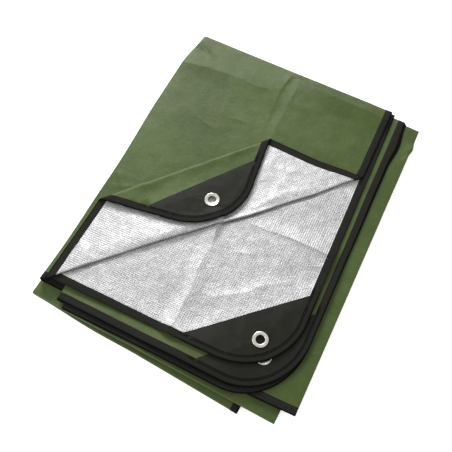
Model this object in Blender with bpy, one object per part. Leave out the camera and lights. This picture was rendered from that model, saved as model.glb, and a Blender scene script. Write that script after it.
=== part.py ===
"""Reusable emergency blanket, lying folded flat in sixteen layers with its top corner turned back.

The blanket is one laminated sheet, green on one face and silver on the other. A tape is bound
round its whole edge, and each of its four rounded corners has a black patch and a metal eyelet.

Every piece is first cut out flat, on the open sheet. There, x runs from the sheet's left edge to
its right edge, which is at x = 0, y runs away from its near edge, and z is the height over the
silver face. folded() then carries each point to where it lies in the pack: the turned-back
corner first, then the four folds that halve the sheet, each taking half of it underneath. Pieces
that are sewn together go through the same folding, so they stay together and never cross.

Units are metres, +Z is up, and the origin is under the middle of the pack.
"""

from collections import namedtuple
from math import atan2, cos, pi, radians, sin, sqrt

import bmesh
import bpy
import numpy as np
from mathutils import Vector

MM = 0.001

# The open blanket.
SHEET_WIDTH = 1524 * MM
SHEET_LENGTH = 2083 * MM
CORNER_RADIUS = 102 * MM
CLOTH = 1.0 * MM
TAPE_WIDTH = 12 * MM
TAPE_THICKNESS = CLOTH
PATCH_LEG = 156 * MM
PATCH_THICKNESS = 1.1 * MM
SEAM = 0.3 * MM

# The eyelets: a barrel with a flange on each face of the patch. They are set by hand, so each
# corner's own lies a little nearer to or further from its two edges. The corners are numbered in
# the order of sheet_corners().
EYELET_INSETS = (53.5 * MM, 51 * MM, 51 * MM, 56 * MM)
EYELET_HOLE = 6.8 * MM
EYELET_BARREL = 7.4 * MM
EYELET_FLANGE = 12.6 * MM
FLANGE_THICKNESS = 0.65 * MM
BARREL_CLEARANCE = 0.8 * MM

# The pack. One layer lies one pitch above the next, with a little air between them.
PITCH = 1.4 * MM
AIR = PITCH - CLOTH
QUARTER_WIDTH = SHEET_WIDTH / 4
QUARTER_LENGTH = SHEET_LENGTH / 4
PACK_TOP = 15 * PITCH
PACK_CENTRE = (15.05 * MM, -22.6 * MM)

# A fold: the axis that it bends round, as a height over the top layer's underside, and its radius
# at the middle of the layers that it bends.
Fold = namedtuple("Fold", "crease radius axis facets")
HALVE_WIDTH = Fold(SHEET_WIDTH / 2, PITCH / 2, -AIR / 2, 4)
HALVE_LENGTH = Fold(SHEET_LENGTH / 2, PITCH, -PITCH - AIR / 2, 4)
QUARTER_THE_WIDTH = Fold(QUARTER_WIDTH, 2 * PITCH, -3 * PITCH - AIR / 2, 6)
QUARTER_THE_LENGTH = Fold(QUARTER_LENGTH, 4 * PITCH, -7 * PITCH - AIR / 2, 8)

# The top layer's near right corner is turned back over the pack, and its tip forward again. Each
# crease runs up the pack to the right at its angle, at its distance from the middle of the layer.
Crease = namedtuple("Crease", "angle_deg distance axis radius facets turns_towards")
TURN_BACK_AXIS = 1.9 * MM
TIP_AXIS = 5.2 * MM
TURN_BACK = Crease(44.2, 61.3 * MM, TURN_BACK_AXIS, TURN_BACK_AXIS - CLOTH / 2, 5, 1)
TIP_RADIUS = TIP_AXIS - 2 * TURN_BACK_AXIS + CLOTH / 2
TIP_FORWARD = Crease(47.6, 52.7 * MM, TIP_AXIS, TIP_RADIUS, 5, -1)

# The layers don't lie quite edge to edge. Each row says how far the sheet has slipped, to the
# right and away, where two of its quarter lines cross: 0 and 4 are its edges, 1 to 3 its folds.
Slip = namedtuple("Slip", "across along right_mm away_mm")
SLIPS = (
    Slip(0, 0, -10, 3),
    Slip(0, 1, -9.5, -5),
    Slip(0, 2, -39, -56),
    Slip(0, 3, 20, -14),
    Slip(0, 4, 16, -39),
    Slip(1, 0, -9.5, -9),
    Slip(1, 1, -7, 9),
    Slip(1, 2, -14, -31),
    Slip(1, 3, 30, 9),
    Slip(1, 4, 42, -34),
    Slip(2, 0, 28, -18),
    Slip(2, 1, 30, -17),
    Slip(2, 2, 14, -47),
    Slip(2, 3, 45, -16),
    Slip(2, 4, 36, -26),
    Slip(3, 0, -9, -2),
    Slip(3, 1, -7, 9),
    Slip(3, 2, -14, -31),
    Slip(3, 3, 22, 9),
    Slip(3, 4, 30, -26),
    Slip(4, 0, 2, -2.5),
    Slip(4, 1, -3.5, -8),
    Slip(4, 2, -39, -56),
    Slip(4, 3, 17.5, -13),
    Slip(4, 4, 17.5, -30),
)

# The eyelets of the three lower corners of the top layers lie on each other, which lifts those
# corners. The lift is a straight ramp, square to the corner's diagonal, and then level.
Lift = namedtuple("Lift", "quarter_across quarter_along height")
LIFTS = (Lift(3, 0, 4.7 * MM), Lift(3, 3, 2.8 * MM), Lift(0, 3, 0.9 * MM))
RAMP_FOOT = 145 * MM
RAMP_LENGTH = 55 * MM

# Old fold creases, standing as low ridges on the two layers that show. A ridge runs between two
# points of the pack, and its height falls off evenly to both sides and to both ends.
Ridge = namedtuple("Ridge", "layer from_right from_away to_right to_away half_width height")
SECOND_LAYER = (3, 0)
TOP_LAYER = (0, 0)
RIDGES = (
    Ridge(SECOND_LAYER, 8 * MM, -95 * MM, 8 * MM, -235 * MM, 14 * MM, 2.0 * MM),
    Ridge(SECOND_LAYER, 60 * MM, -48 * MM, 165 * MM, -48 * MM, 14 * MM, 1.6 * MM),
    Ridge(TOP_LAYER, -172 * MM, 200 * MM, 2 * MM, 216 * MM, 22 * MM, 3.0 * MM),
    Ridge(TOP_LAYER, 2 * MM, 204 * MM, 4 * MM, 118 * MM, 14 * MM, 2.0 * MM),
)

# How finely the flat parts of the layers are divided, and the eyelets.
STRIPS_ACROSS = 3
STRIPS_ALONG = 4
CORNER_STEPS = 8
EYELET_STEPS = 24

Finish = namedtuple("Finish", "colour roughness metallic")
GREEN_CLOTH = Finish((0.135, 0.19, 0.075), 0.55, 0.0)
BLACK_TAPE = Finish((0.014, 0.014, 0.012), 0.7, 0.0)
BLACK_PATCH = Finish((0.026, 0.027, 0.022), 0.6, 0.0)
NICKEL = Finish((0.78, 0.74, 0.62), 0.3, 1.0)


# The folding.


def bent(position, height, crease, radius, axis):
    """Carries points across one fold.

    Up to the fold, a point stays. In the fold it goes round the axis, at its own distance from
    it, by the angle that its way into the fold has on the radius. Past half a turn it comes back,
    upside down.
    """
    start = crease - pi * radius / 2
    turn = np.clip((position - start) / radius, 0, pi)
    past = np.maximum(position - start - pi * radius, 0)
    arm = height - axis
    return np.minimum(position, start) + np.abs(arm) * np.sin(turn) - past, axis + arm * np.cos(turn)


def crease_directions(crease):
    """The direction along a crease, and the one that its turning part lies in."""
    angle = radians(crease.angle_deg)
    along = np.array((cos(angle), sin(angle)))
    return along, crease.turns_towards * np.array((sin(angle), -cos(angle)))


def creased(right, away, height, crease):
    """Carries points of the top layer across one crease."""
    direction, normal = crease_directions(crease)
    on_crease = right * direction[0] + away * direction[1]
    beyond = right * normal[0] + away * normal[1]
    beyond, height = bent(beyond, height, crease.distance, crease.radius, crease.axis)
    right = beyond * normal[0] + on_crease * direction[0]
    return right, beyond * normal[1] + on_crease * direction[1], height


def choose(where, chosen, others):
    """Coordinates from the first set at some points and from the second at the others."""
    return [np.where(where, first, second) for first, second in zip(chosen, others)]


def corner_turned(across, along, height):
    """Turns the top layer's corner back over the layer, and its tip forward again."""
    right, away = QUARTER_WIDTH / 2 - across, along - QUARTER_LENGTH / 2
    normal = crease_directions(TURN_BACK)[1]
    is_turned = right * normal[0] + away * normal[1] > TURN_BACK.distance
    back = creased(right, away, height, TURN_BACK)
    forward = creased(*back, TIP_FORWARD)
    right, away, height = choose(is_turned, forward, back)
    return QUARTER_WIDTH / 2 - right, away + QUARTER_LENGTH / 2, height


def quarter_of(distance, quarter):
    """Which quarter of the sheet a distance lies in, from 0 to 3."""
    return np.clip((distance / quarter).astype(int), 0, 3)


def slip_fraction(distance, quarter, fold_halves):
    """How far a point is between two quarter lines, which counts from bend to bend."""
    index = quarter_of(distance, quarter)
    first = index * quarter + fold_halves[index]
    last = (index + 1) * quarter - fold_halves[index + 1]
    return index, np.clip((distance - first) / (last - first), 0, 1)


def slipped(across, along):
    """The slip of each point, to the right and away, evenly between the quarter lines."""
    slips = np.zeros((5, 5, 2))
    for row in SLIPS:
        slips[row.across, row.along] = (row.right_mm * MM, row.away_mm * MM)
    across_halves = pi / 2 * np.array((0, 2 * PITCH, PITCH / 2, 2 * PITCH, 0))
    along_halves = pi / 2 * np.array((0, 4 * PITCH, PITCH, 4 * PITCH, 0))
    i, to_left = slip_fraction(across, QUARTER_WIDTH, across_halves)
    j, to_far = slip_fraction(along, QUARTER_LENGTH, along_halves)
    to_left, to_far = to_left[:, None], to_far[:, None]
    near = (1 - to_left) * slips[i, j] + to_left * slips[i + 1, j]
    far = (1 - to_left) * slips[i, j + 1] + to_left * slips[i + 1, j + 1]
    return (1 - to_far) * near + to_far * far


def ramp_share(right, away):
    """How far up the corner ramp a point of the pack is, from 0 to 1."""
    from_corner = (QUARTER_WIDTH / 2 - right + QUARTER_LENGTH / 2 + away) / sqrt(2)
    return np.clip((RAMP_FOOT - from_corner) / RAMP_LENGTH, 0, 1)


def ridge_height(ridge, right, away):
    """A ridge's height at points of the pack."""
    start = np.array((ridge.from_right, ridge.from_away))
    way = np.array((ridge.to_right, ridge.to_away)) - start
    length = np.hypot(*way)
    along = ((right - start[0]) * way[0] + (away - start[1]) * way[1]) / length
    aside = np.abs((right - start[0]) * way[1] - (away - start[1]) * way[0]) / length
    to_end = np.minimum(along, length - along)
    over_side = np.clip(1 - aside / ridge.half_width, 0, 1)
    over_end = np.clip(to_end / ridge.half_width, 0, 1)
    return ridge.height * over_side * over_end


def folded(points):
    """Where points of the open sheet lie in the pack."""
    across, along, height = -points[:, 0], points[:, 1], points[:, 2]
    i, j = quarter_of(across, QUARTER_WIDTH), quarter_of(along, QUARTER_LENGTH)
    on_top = (i == 0) & (j == 0)
    turned = corner_turned(across, along, height)
    is_flat = ~on_top | (np.abs(turned[0] - across) < 1e-9)
    across, along, height = choose(on_top, turned, (across, along, height))
    slip = slipped(across, along)
    for fold in (HALVE_WIDTH, HALVE_LENGTH, QUARTER_THE_WIDTH, QUARTER_THE_LENGTH):
        if fold in (HALVE_WIDTH, QUARTER_THE_WIDTH):
            across, height = bent(across, height, fold.crease, fold.radius, fold.axis)
        else:
            along, height = bent(along, height, fold.crease, fold.radius, fold.axis)
    right = QUARTER_WIDTH / 2 - across + slip[:, 0]
    away = along - QUARTER_LENGTH / 2 + slip[:, 1]
    up = PACK_TOP + height
    for lift in LIFTS:
        lifted = (i == lift.quarter_across) & (j == lift.quarter_along)
        up = up + lifted * lift.height * ramp_share(right, away)
    for ridge in RIDGES:
        here = (i == ridge.layer[0]) & (j == ridge.layer[1]) & is_flat
        up = up + here * ridge_height(ridge, right, away)
    return np.column_stack((right - PACK_CENTRE[0], away - PACK_CENTRE[1], up))


# The lines that the flat pieces are divided along, so that every fold has its facets.


def spread(first, last, count):
    """Even steps from first to last, both counted."""
    return [first + (last - first) * step / count for step in range(count + 1)]


def fold_lines(fold, whole):
    """A fold's facet lines, which lie on the sheet twice if the sheet was already halved."""
    half = pi * fold.radius / 2
    lines = spread(fold.crease - half, fold.crease + half, fold.facets)
    if fold.crease < whole / 2:
        lines += [whole - line for line in lines]
    return lines


def strip_lines(quarter, strips):
    """Lines that divide the flat stretch between two folds into strips."""
    return [quarter * (index + step / strips) for index in range(4) for step in range(1, strips)]


def divide(flat, point, normal, where=None):
    """Divides a flat mesh along a line, in all of it or in the faces that where() picks."""
    faces = [face for face in flat.faces if where is None or where(face.calc_center_median())]
    parts = {part for face in faces for part in (face, *face.edges, *face.verts)}
    bmesh.ops.bisect_plane(
        flat, geom=list(parts), dist=1e-7, plane_co=(*point, 0), plane_no=(*normal, 0)
    )


def on_top_layer(centre):
    return -centre.x < QUARTER_WIDTH and centre.y < QUARTER_LENGTH


def on_layer(layer):
    """A test for one of the sheet's sixteen layers."""
    def test(centre):
        return (int(-centre.x / QUARTER_WIDTH), int(centre.y / QUARTER_LENGTH)) == layer
    return test


def to_sheet(layer, right, away):
    """The point of the open sheet that comes to lie at a point of the pack, in a corner layer."""
    slip = np.zeros(2)
    for _ in range(4):
        across = QUARTER_WIDTH / 2 - right + slip[0]
        along = away + QUARTER_LENGTH / 2 - slip[1]
        if layer[0] == 3:
            across = SHEET_WIDTH - across
        if layer[1] == 3:
            along = SHEET_LENGTH - along
        slip = slipped(np.array((across,)), np.array((along,)))[0]
    return Vector((-across, along))


def divide_between(flat, start, end, offset, layer):
    """Divides one layer along the line between two of its points, moved aside by an offset."""
    way = (end - start).normalized()
    normal = Vector((way.y, -way.x))
    divide(flat, start + normal * offset, normal, on_layer(layer))


def divide_for_turned_corner(flat):
    """Facet lines for the corner's two creases. The tip's are mirrored to the open sheet."""
    direction, normal = crease_directions(TURN_BACK)
    middle = np.array((-QUARTER_WIDTH / 2, QUARTER_LENGTH / 2))
    half = pi * TURN_BACK.radius / 2
    for line in spread(-half, half, TURN_BACK.facets):
        divide(flat, middle + normal * (TURN_BACK.distance + line), normal, on_top_layer)
    tip_normal = crease_directions(TIP_FORWARD)[1]
    mirrored = tip_normal - 2 * (tip_normal @ normal) * normal
    crease_point = 2 * TURN_BACK.distance * normal
    half = pi * TIP_FORWARD.radius / 2
    for line in spread(-half, half, TIP_FORWARD.facets):
        point = middle + crease_point + mirrored * (TIP_FORWARD.distance + line)
        divide(flat, point, mirrored, on_top_layer)


def divide_for_ramps(flat):
    """The foot and the head of the lifted corners' ramp."""
    for lift in LIFTS:
        layer = (lift.quarter_across, lift.quarter_along)
        for from_corner in (RAMP_FOOT, RAMP_FOOT - RAMP_LENGTH):
            reach = from_corner * sqrt(2)
            corner = (QUARTER_WIDTH / 2, -QUARTER_LENGTH / 2)
            start = to_sheet(layer, corner[0] - reach + 20 * MM, corner[1] + 20 * MM)
            end = to_sheet(layer, corner[0] - 20 * MM, corner[1] + reach - 20 * MM)
            divide_between(flat, start, end, 0, layer)


def divide_for_ridges(flat):
    """The crest and both feet of each ridge."""
    for ridge in RIDGES:
        start = to_sheet(ridge.layer, ridge.from_right, ridge.from_away)
        end = to_sheet(ridge.layer, ridge.to_right, ridge.to_away)
        for offset in (-ridge.half_width, 0, ridge.half_width):
            divide_between(flat, start, end, offset, ridge.layer)


def divide_for_folds(flat):
    """All the lines along which the cloth and its binding bend."""
    across = fold_lines(HALVE_WIDTH, SHEET_WIDTH) + fold_lines(QUARTER_THE_WIDTH, SHEET_WIDTH)
    along = fold_lines(HALVE_LENGTH, SHEET_LENGTH) + fold_lines(QUARTER_THE_LENGTH, SHEET_LENGTH)
    for line in across + strip_lines(QUARTER_WIDTH, STRIPS_ACROSS):
        divide(flat, (-line, 0), (1, 0))
    for line in along + strip_lines(QUARTER_LENGTH, STRIPS_ALONG):
        divide(flat, (0, line), (0, 1))
    divide_for_turned_corner(flat)
    divide_for_ramps(flat)


# The pieces, cut out flat.


def sheet_corners():
    """Each corner of the open sheet, with the directions from it along both edges."""
    for left in (0, 1):
        for far in (0, 1):
            corner = Vector((-SHEET_WIDTH * left, SHEET_LENGTH * far))
            yield corner, Vector((2 * left - 1, 0)), Vector((0, 1 - 2 * far))


def rounded_outline(inset):
    """The sheet's outline, drawn in by an inset, with rounded corners, as a list of points."""
    radius = CORNER_RADIUS - inset
    centres = (
        (-CORNER_RADIUS, CORNER_RADIUS, -90), (-CORNER_RADIUS, SHEET_LENGTH - CORNER_RADIUS, 0),
        (-SHEET_WIDTH + CORNER_RADIUS, SHEET_LENGTH - CORNER_RADIUS, 90),
        (-SHEET_WIDTH + CORNER_RADIUS, CORNER_RADIUS, 180),
    )
    return [
        (x + radius * cos(radians(angle)), y + radius * sin(radians(angle)))
        for x, y, start in centres
        for angle in spread(start, start + 90, CORNER_STEPS)
    ]


def flat_cloth():
    """The laminated sheet: inside the binding, and cut off at each patch's long edge."""
    flat = bmesh.new()
    inset, leg = TAPE_WIDTH + SEAM, PATCH_LEG + sqrt(2) * SEAM
    outline = []
    for corner, inwards, upwards in sheet_corners():
        outline.append(corner + inwards * (leg - inset) + upwards * inset)
        outline.append(corner + inwards * inset + upwards * (leg - inset))
    outline.sort(key=lambda end: atan2(end.y - SHEET_LENGTH / 2, end.x + SHEET_WIDTH / 2))
    flat.faces.new([flat.verts.new((*end, 0)) for end in outline])
    divide_for_folds(flat)
    divide_for_ridges(flat)
    return flat


def flat_tape():
    """The binding: a band of one width round the whole edge."""
    flat = bmesh.new()
    outer = [flat.verts.new((*point, 0)) for point in rounded_outline(0)]
    inner = [flat.verts.new((*point, 0)) for point in rounded_outline(TAPE_WIDTH)]
    for index in range(len(outer)):
        last = index - 1
        flat.faces.new((outer[last], outer[index], inner[index], inner[last]))
    divide_for_folds(flat)
    return flat


def flat_patch(corner, inwards, upwards, eyelet_inset):
    """A corner patch: two straight edges, a rounded corner and a long edge, with an eyelet hole."""
    flat = bmesh.new()
    inset = TAPE_WIDTH + SEAM
    radius = CORNER_RADIUS - inset
    outline = [(PATCH_LEG - inset, inset)]
    for angle in spread(radians(270), radians(180), CORNER_STEPS):
        outline.append((CORNER_RADIUS + radius * cos(angle), CORNER_RADIUS + radius * sin(angle)))
    outline.append((inset, PATCH_LEG - inset))
    hole_radius = EYELET_BARREL + BARREL_CLEARANCE
    hole = [
        (eyelet_inset + hole_radius * cos(angle), eyelet_inset + hole_radius * sin(angle))
        for angle in spread(0, 2 * pi, EYELET_STEPS)[:-1]
    ]
    edges = []
    for ring in (outline, hole):
        verts = [flat.verts.new((*(corner + inwards * a + upwards * b), 0)) for a, b in ring]
        edges += [flat.edges.new((verts[index - 1], verts[index])) for index in range(len(verts))]
    bmesh.ops.triangle_fill(flat, use_beauty=True, edges=edges)
    divide_for_ramps(flat)
    return flat


# The solids.


def finish_material(name, finish):
    material = bpy.data.materials.new(name)
    material.use_nodes = True
    shader = material.node_tree.nodes["Principled BSDF"]
    shader.inputs["Base Color"].default_value = (*finish.colour, 1)
    shader.inputs["Roughness"].default_value = finish.roughness
    shader.inputs["Metallic"].default_value = finish.metallic
    return material


def add_object(name, points, faces, finish):
    """Adds a closed mesh to the scene, with its faces turned outwards."""
    mesh = bpy.data.meshes.new(name)
    mesh.from_pydata(points.tolist(), [], faces)
    closed = bmesh.new()
    closed.from_mesh(mesh)
    bmesh.ops.recalc_face_normals(closed, faces=closed.faces)
    closed.to_mesh(mesh)
    closed.free()
    mesh.shade_smooth()
    mesh.set_sharp_from_angle(angle=radians(35))
    mesh.materials.append(finish_material(name, finish))
    bpy.context.scene.collection.objects.link(bpy.data.objects.new(name, mesh))


def add_layer(name, flat, low, high, finish):
    """Gives a flat piece its thickness, from low to high, and folds it."""
    bmesh.ops.triangulate(flat, faces=flat.faces)
    bmesh.ops.recalc_face_normals(flat, faces=flat.faces)
    flat.normal_update()
    if sum(face.normal.z for face in flat.faces) < 0:
        bmesh.ops.reverse_faces(flat, faces=flat.faces)
    flat.verts.index_update()
    count = len(flat.verts)
    plan = np.array([vert.co[:] for vert in flat.verts])
    bottom, top = plan.copy(), plan.copy()
    bottom[:, 2], top[:, 2] = low, high
    faces = []
    for face in flat.faces:
        corners = [vert.index for vert in face.verts]
        faces.append([index + count for index in corners])
        faces.append(corners[::-1])
        for loop in face.loops:
            if loop.edge.is_boundary:
                start, end = loop.vert.index, loop.link_loop_next.vert.index
                faces.append((start, end, end + count))
                faces.append((start, end + count, start + count))
    flat.free()
    add_object(name, folded(np.concatenate((bottom, top))), faces, finish)


def eyelet_profile():
    """The eyelet's section, from its axis outwards, over the silver face of the patch."""
    low = CLOTH / 2 - PATCH_THICKNESS / 2 - SEAM
    high = CLOTH / 2 + PATCH_THICKNESS / 2 + SEAM
    rim = FLANGE_THICKNESS * 0.4
    crown = EYELET_HOLE + 2.6 * MM
    edge = EYELET_FLANGE - 0.4 * MM
    return (
        (EYELET_HOLE, low), (EYELET_HOLE, high), (crown, high + FLANGE_THICKNESS),
        (edge, high + rim), (EYELET_FLANGE, high), (EYELET_BARREL, high),
        (EYELET_BARREL, low), (EYELET_FLANGE, low), (edge, low - rim),
        (crown, low - FLANGE_THICKNESS),
    )


def frame_at(centre):
    """Where a point of the sheet's silver face lies in the pack, and how the sheet is turned there."""
    steps = np.array(((0, 0, 0), (EYELET_HOLE, 0, 0), (0, EYELET_HOLE, 0)))
    place, to_right, to_away = folded(steps + (centre.x, centre.y, 0))
    first = Vector(to_right - place).normalized()
    up = first.cross(Vector(to_away - place)).normalized()
    return place, np.array((first, up.cross(first), up))


def add_eyelet(name, centre):
    """An eyelet: its section turned round its axis, and set upright on the patch, as stiff metal."""
    profile = np.array(eyelet_profile())
    turns = np.array(spread(0, 2 * pi, EYELET_STEPS)[:-1])
    radius, height = profile[:, 0][None, :], profile[:, 1][None, :]
    ring = (radius * np.cos(turns)[:, None], radius * np.sin(turns)[:, None])
    points = np.stack((*ring, height + 0 * ring[0]), axis=-1).reshape(-1, 3)
    place, directions = frame_at(centre)
    count = len(profile)
    faces = []
    for turn in range(EYELET_STEPS):
        here, there = turn * count, (turn + 1) % EYELET_STEPS * count
        for start in range(count):
            end = (start + 1) % count
            faces.append((here + start, here + end, there + end))
            faces.append((here + start, there + end, there + start))
    add_object(name, place + points @ directions, faces, NICKEL)


def build():
    for leftover in list(bpy.data.objects):
        bpy.data.objects.remove(leftover, do_unlink=True)
    add_layer("blanket", flat_cloth(), 0, CLOTH, GREEN_CLOTH)
    spare = (TAPE_THICKNESS - CLOTH) / 2
    add_layer("edge_binding", flat_tape(), -spare, CLOTH + spare, BLACK_TAPE)
    spare = (PATCH_THICKNESS - CLOTH) / 2
    for number, (corner, inwards, upwards) in enumerate(sheet_corners(), start=1):
        inset = EYELET_INSETS[number - 1]
        patch = flat_patch(corner, inwards, upwards, inset)
        add_layer(f"corner_patch_{number}", patch, -spare, CLOTH + spare, BLACK_PATCH)
        add_eyelet(f"eyelet_{number}", corner + (inwards + upwards) * inset)


build()
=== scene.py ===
# %% [markdown]
# # An emergency foil blanket, folded flat
#
# The real blanket is one sheet, 1.5 by 2.1 m, green on one face and silver on the other. Black tape
# is bound round its edge, and each rounded corner has a black patch and a metal eyelet. It lies
# halved twice each way, so sixteen layers lie on each other, and the top layer's near right corner
# is turned back, with its tip turned forward again.
#
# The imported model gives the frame: each piece that is made here stands for one of its nodes.

from collections import namedtuple
from math import cos, pi, radians, sin, sqrt

import bmesh
import bpy
import numpy as np
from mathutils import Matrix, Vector


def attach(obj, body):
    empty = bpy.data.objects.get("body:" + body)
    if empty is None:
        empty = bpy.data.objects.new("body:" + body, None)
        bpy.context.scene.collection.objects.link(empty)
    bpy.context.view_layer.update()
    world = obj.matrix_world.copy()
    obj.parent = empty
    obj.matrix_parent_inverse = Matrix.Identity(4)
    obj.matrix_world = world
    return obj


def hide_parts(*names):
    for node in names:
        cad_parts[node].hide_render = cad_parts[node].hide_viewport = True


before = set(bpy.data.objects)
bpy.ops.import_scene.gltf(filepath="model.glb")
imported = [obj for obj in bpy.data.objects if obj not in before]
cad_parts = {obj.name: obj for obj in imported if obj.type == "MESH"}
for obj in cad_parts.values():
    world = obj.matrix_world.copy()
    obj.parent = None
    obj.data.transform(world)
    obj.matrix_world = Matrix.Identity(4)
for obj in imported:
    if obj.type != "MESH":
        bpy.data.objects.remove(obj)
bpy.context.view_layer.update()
print("packed nodes:", ", ".join(sorted(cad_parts)))

# %% [markdown]
# ## Sizes
#
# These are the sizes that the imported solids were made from. Units are metres. The sheet's green and
# silver faces are drawn a little nearer each other than the solid's, so that tape and patches stand
# proud of them, as they do when they are sewn on. The eyelets are set by hand on the real thing, so
# each has its own distance from the edges.

# %% Driving sizes
MM = 0.001
SHEET_WIDTH, SHEET_LENGTH = 1524 * MM, 2083 * MM
QUARTER_WIDTH, QUARTER_LENGTH = SHEET_WIDTH / 4, SHEET_LENGTH / 4
CORNER_RADIUS = 102 * MM
PITCH = 1.4 * MM
CLOTH = 1.0 * MM
AIR = PITCH - CLOTH
TAPE_WIDTH = 12 * MM
PATCH_LEG = 156 * MM
CORNERS = (1, 2, 3, 4)  # the corners of the first (top), fourth, second and third layer
EYELET_INSETS = (53.5 * MM, 51 * MM, 51 * MM, 56 * MM)
PACK_TOP = 15 * PITCH
PACK_CENTRE = (15.05 * MM, -22.6 * MM)
SILVER_FACE, GREEN_FACE = 0.22 * MM, 0.78 * MM
print(f"one quarter of the sheet: {QUARTER_WIDTH:.3f} by {QUARTER_LENGTH:.3f} m")

# %% [markdown]
# ## Folding
#
# Cloth that is folded keeps its lengths, so a fold is a rule that says where each point of the flat
# sheet goes: straight up to the fold, round an axis, and back upside down. Every piece is worked out
# flat and then goes through the same rules, in the order in which a person would fold. That is why
# tape, patches and cloth stay together and never cut each other. A cloth simulation of sixteen
# layers would take hours and still wouldn't land on the same layout.

# %% The folds
Fold = namedtuple("Fold", "crease radius axis")
Crease = namedtuple("Crease", "angle_deg distance axis radius turns_towards")
FOLDS_ACROSS = (
    Fold(SHEET_WIDTH / 2, PITCH / 2, -AIR / 2),
    Fold(QUARTER_WIDTH, 2 * PITCH, -3 * PITCH - AIR / 2),
)
FOLDS_ALONG = (
    Fold(SHEET_LENGTH / 2, PITCH, -PITCH - AIR / 2),
    Fold(QUARTER_LENGTH, 4 * PITCH, -7 * PITCH - AIR / 2),
)
TURN_BACK_AXIS, TIP_AXIS = 1.9 * MM, 5.2 * MM
TURN_BACK = Crease(44.2, 61.3 * MM, TURN_BACK_AXIS, TURN_BACK_AXIS - CLOTH / 2, 1)
TIP_FORWARD = Crease(47.6, 52.7 * MM, TIP_AXIS, TIP_AXIS - 2 * TURN_BACK_AXIS + CLOTH / 2, -1)
print(f"{len(FOLDS_ACROSS)} folds across, {len(FOLDS_ALONG)} along, and two slanting creases")


def bent(position, height, fold, crease):
    """Positions and heights after one fold.

    x = min(p, s) + |h - a| * sin(t) - how far p is past the bend, and z = a + (h - a) * cos(t),
    where s is the bend's start, a its axis, and t = (p - s) / radius, held between 0 and half a turn.
    """
    start = crease - pi * fold.radius / 2
    turn = np.clip((position - start) / fold.radius, 0, pi)
    past = np.maximum(position - start - pi * fold.radius, 0)
    arm = height - fold.axis
    moved = np.minimum(position, start) + np.abs(arm) * np.sin(turn) - past
    return moved, fold.axis + arm * np.cos(turn)


def crease_normal(crease):
    """The direction, square to a crease, in which its turning part lies."""
    angle = radians(crease.angle_deg)
    return crease.turns_towards * np.array((sin(angle), -cos(angle)))


def past_crease(crease, right, away):
    """How far past a slanting crease places of the flat top layer lie, square to it."""
    normal = crease_normal(crease)
    return right * normal[0] + away * normal[1] - crease.distance


def creased(right, away, height, crease):
    """Points of the top layer after one slanting crease: bent() along the crease's normal."""
    normal = crease_normal(crease)
    beyond = right * normal[0] + away * normal[1]
    moved, height = bent(beyond, height, crease, crease.distance)
    return right + (moved - beyond) * normal[0], away + (moved - beyond) * normal[1], height


# %% [markdown]
# ## Slipped layers
#
# Hand-folded layers never lie edge to edge. The table says how far the sheet has slipped where its
# quarter lines cross, and between them the slip is spread evenly. It gives the steps of tape and
# cloth along the pack's right and near sides. Layers could also be moved one by one, but then the
# folds between them would tear. A slip that is spread over the whole sheet tears nothing.

# %% How far each crossing of the quarter lines has slipped: right and away, in millimetres
SLIPS = (
    # One row for each line across the sheet, and one pair for each line along it.
    ((-10, 3), (-9.5, -5), (-39, -56), (20, -14), (16, -39)),
    ((-9.5, -9), (-7, 9), (-14, -31), (30, 9), (42, -34)),
    ((28, -18), (30, -17), (14, -47), (45, -16), (36, -26)),
    ((-9, -2), (-7, 9), (-14, -31), (22, 9), (30, -26)),
    ((2, -2.5), (-3.5, -8), (-39, -56), (17.5, -13), (17.5, -30)),
)
SLIP_GRID = np.array(SLIPS) * MM
ACROSS_HALVES = pi / 2 * np.array((0, 2 * PITCH, PITCH / 2, 2 * PITCH, 0))
ALONG_HALVES = pi / 2 * np.array((0, 4 * PITCH, PITCH, 4 * PITCH, 0))
print(f"the layers slip by up to {np.abs(SLIP_GRID).max() / MM:.0f} mm")


def quarter_of(distance, quarter):
    """Which quarter of the sheet a distance lies in, from 0 to 3."""
    return np.clip((distance / quarter).astype(int), 0, 3)


def between_bends(distance, quarter, halves):
    """The quarter, and the share of the way from its first bend to its last."""
    index = quarter_of(distance, quarter)
    first = index * quarter + halves[index]
    last = (index + 1) * quarter - halves[index + 1]
    return index, np.clip((distance - first) / (last - first), 0, 1)[:, None]


def slipped(across, along):
    """The slip at each point: the four crossings round it, weighed by how near they are."""
    i, s = between_bends(across, QUARTER_WIDTH, ACROSS_HALVES)
    j, t = between_bends(along, QUARTER_LENGTH, ALONG_HALVES)
    near = (1 - s) * SLIP_GRID[i, j] + s * SLIP_GRID[i + 1, j]
    far = (1 - s) * SLIP_GRID[i, j + 1] + s * SLIP_GRID[i + 1, j + 1]
    return (1 - t) * near + t * far


# %% [markdown]
# ## Relief: old creases, loose layers and small crumples
#
# A pack of cloth isn't flat. Old packing creases stand as low ridges, layers gape a little, and foil
# cloth keeps small crumples. A ridge lifts everything above a given height in the pack, by an amount
# that depends on the place alone. It only ever raises what is above it, so the layers keep their
# order, nothing can cut through its neighbour, and no stray gap opens at a fold.
#
# The ridges stand in a table, because real creases lie where someone once folded or sat on the
# cloth, and no formula knows that. Sculpting them in Blender would look as good, but it couldn't be
# run again after a change to the folds.

# %% A soft step
def rising(value, low, high):
    """0 below low, 1 above high, and a soft S between them: s^2 * (3 - 2s)."""
    share = np.clip((value - low) / (high - low), 0, 1)
    return share * share * (3 - 2 * share)


print("a soft step, a quarter and half of the way:", rising(0.25, 0, 1), rising(0.5, 0, 1))

# %% Heights from which a ridge lifts: the air under a layer, counted from the top, or over the flap
def under_layer(number):
    """The middle of the air under a layer of the flat pack. Layer 1 is the top one."""
    return (16 - number) * PITCH - AIR / 2


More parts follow.
